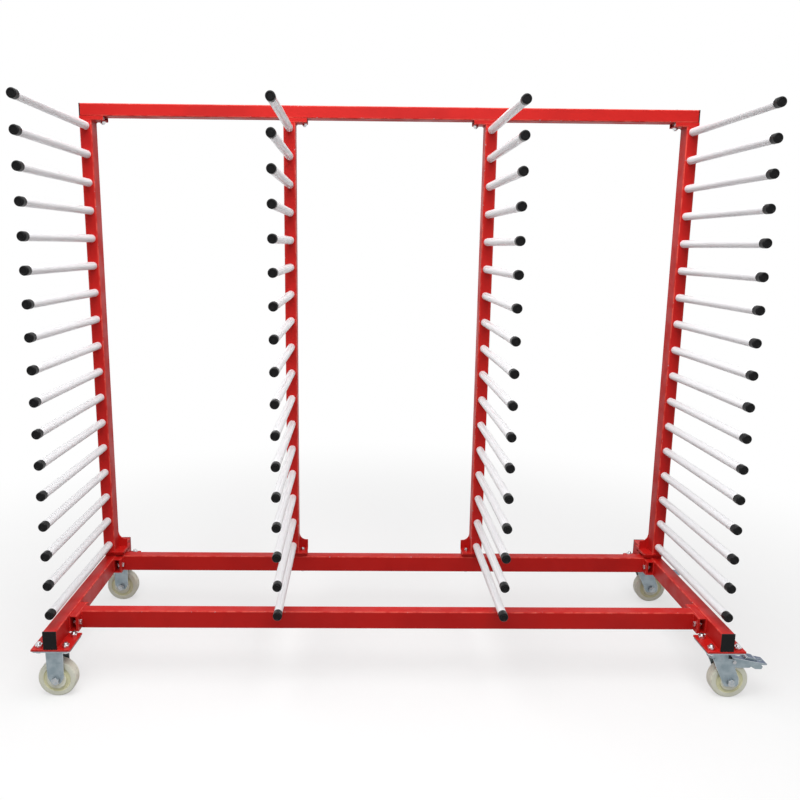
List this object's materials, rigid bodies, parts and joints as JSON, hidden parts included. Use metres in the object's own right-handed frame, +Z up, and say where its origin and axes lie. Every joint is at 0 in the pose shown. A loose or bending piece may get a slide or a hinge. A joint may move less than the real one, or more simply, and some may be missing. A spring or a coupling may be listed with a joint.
{
  "type": "panel drying rack",
  "caption": "Mobile drying rack: red tube frame with rows of sleeved cantilever arms on upright posts, on fixed casters at one end and braked swivel casters at the other.",
  "frame": {"origin": "centre of the bounding box, on the floor", "axes": "+X along the rack towards the braked swivel casters, +Y from the arm tips to the posts, +Z up"},
  "size_m": [1.941, 0.682, 1.5865],
  "materials": {
    "red_paint": "gloss",
    "white_sleeve": "satin",
    "black_plastic": "satin",
    "pressed_zinc": "satin",
    "bright_zinc": "gloss",
    "plain_steel": "satin",
    "nylon": "satin"
  },
  "bodies": {
    "rack": {"side_rail_left": "red_paint", "side_rail_right": "red_paint", "front_cross_rail": "red_paint", "rear_cross_rail": "red_paint", "top_rail": "red_paint", "head_channels": "red_paint", "foot_plates": "red_paint", "foot_spacers": "red_paint", "foot_gussets": "red_paint", "joint_tubes": "red_paint", "joint_flanges": "red_paint", "caster_mount_plates": "red_paint", "post_left": "red_paint", "post_mid_left": "red_paint", "post_mid_right": "red_paint", "post_right": "red_paint", "arm_sleeves_left": "white_sleeve", "arm_sleeves_mid_left": "white_sleeve", "arm_sleeves_mid_right": "white_sleeve", "arm_sleeves_right": "white_sleeve", "rail_end_plugs": "black_plastic", "top_rail_plugs": "black_plastic", "arm_caps_left": "black_plastic", "arm_caps_mid_left": "black_plastic", "arm_caps_mid_right": "black_plastic", "arm_caps_right": "black_plastic", "arm_rods_left": "plain_steel", "arm_rods_mid_left": "plain_steel", "arm_rods_mid_right": "plain_steel", "arm_rods_right": "plain_steel", "caster_bolts": "bright_zinc", "joint_bolts": "bright_zinc", "foot_bolts": "bright_zinc", "head_bolts": "bright_zinc", "frame_nuts": "bright_zinc", "fixed_axle_bolts": "bright_zinc", "fixed_axle_nuts": "bright_zinc", "fixed_fork_front_left": "pressed_zinc", "fixed_fork_rear_left": "pressed_zinc", "swivel_top_plates": "pressed_zinc", "swivel_king_pins": "plain_steel", "swivel_race_balls": "plain_steel"},
    "wheel_front_left": {"wheel_front_left": "nylon", "wheel_bush_front_left": "plain_steel"},
    "wheel_rear_left": {"wheel_rear_left": "nylon", "wheel_bush_rear_left": "plain_steel"},
    "wheel_front_right": {"wheel_front_right": "nylon", "wheel_bush_front_right": "plain_steel"},
    "wheel_rear_right": {"wheel_rear_right": "nylon", "wheel_bush_rear_right": "plain_steel"},
    "swivel_front_right": {"swivel_fork_front_right": "pressed_zinc", "swivel_axle_front_right": "bright_zinc", "brake_pin_front_right": "plain_steel"},
    "pedal_front_right": {"brake_pedal_front_right": "pressed_zinc", "brake_shoe_front_right": "pressed_zinc"},
    "swivel_rear_right": {"swivel_fork_rear_right": "pressed_zinc", "swivel_axle_rear_right": "bright_zinc", "brake_pin_rear_right": "plain_steel"},
    "pedal_rear_right": {"brake_pedal_rear_right": "pressed_zinc", "brake_shoe_rear_right": "pressed_zinc"}
  },
  "joints": [
    {"name": "wheel_front_left_roll", "type": "hinge", "parent": "rack", "child": "wheel_front_left", "pos_m": [-0.9195, -0.2935, 0.05], "axis": [0, 1, 0], "continuous": true},
    {"name": "swivel_front_right_turn", "type": "hinge", "parent": "rack", "child": "swivel_front_right", "pos_m": [0.8455, -0.2935, 0.1], "axis": [0, 0, 1], "continuous": true},
    {"name": "wheel_front_right_roll", "type": "hinge", "parent": "swivel_front_right", "child": "wheel_front_right", "pos_m": [0.875, -0.2935, 0.05], "axis": [0, 1, 0], "continuous": true},
    {"name": "pedal_front_right_press", "type": "hinge", "parent": "swivel_front_right", "child": "pedal_front_right", "pos_m": [0.8795, -0.2935, 0.108], "axis": [0, 1, 0], "range_deg": [0, 12]},
    {"name": "wheel_rear_left_roll", "type": "hinge", "parent": "rack", "child": "wheel_rear_left", "pos_m": [-0.9195, 0.2935, 0.05], "axis": [0, 1, 0], "continuous": true},
    {"name": "swivel_rear_right_turn", "type": "hinge", "parent": "rack", "child": "swivel_rear_right", "pos_m": [0.8455, 0.2935, 0.1], "axis": [0, 0, 1], "continuous": true},
    {"name": "wheel_rear_right_roll", "type": "hinge", "parent": "swivel_rear_right", "child": "wheel_rear_right", "pos_m": [0.875, 0.2935, 0.05], "axis": [0, 1, 0], "continuous": true},
    {"name": "pedal_rear_right_press", "type": "hinge", "parent": "swivel_rear_right", "child": "pedal_rear_right", "pos_m": [0.8795, 0.2935, 0.108], "axis": [0, 1, 0], "range_deg": [0, 12]}
  ]
}
